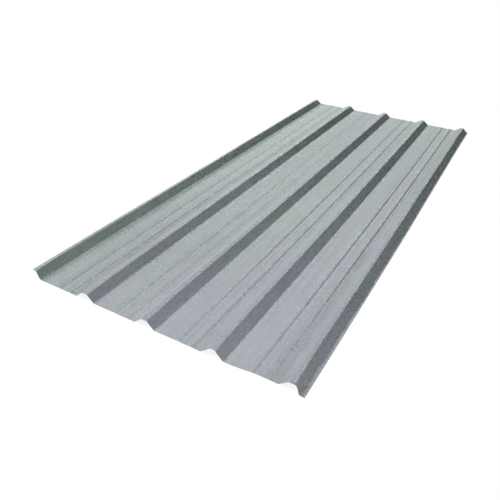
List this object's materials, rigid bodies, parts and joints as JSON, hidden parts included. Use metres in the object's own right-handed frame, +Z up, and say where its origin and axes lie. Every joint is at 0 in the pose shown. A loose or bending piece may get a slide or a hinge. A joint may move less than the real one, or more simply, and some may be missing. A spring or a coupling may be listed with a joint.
{
  "type": "trapezoidal corrugated metal sheet",
  "caption": "Long galvanised steel roofing and cladding sheet with trapezoidal ribs, shallow swages in the flat pans between them, a half rib on the lap edge and a foot flange on the other.",
  "frame": {"origin": "centre of the sheet's plan, level with the underside of its pans", "axes": "+X across the sheet, from the half rib of the lap edge to the foot flange; +Y along the length; +Z up, out of the weather side"},
  "size_m": [1.045, 2.5, 0.0255],
  "materials": {
    "galvanised_steel": "hot-dip galvanised zinc, satin, fine spangle"
  },
  "bodies": {
    "root": {"ribbed_sheet": "galvanised_steel"}
  },
  "joints": []
}
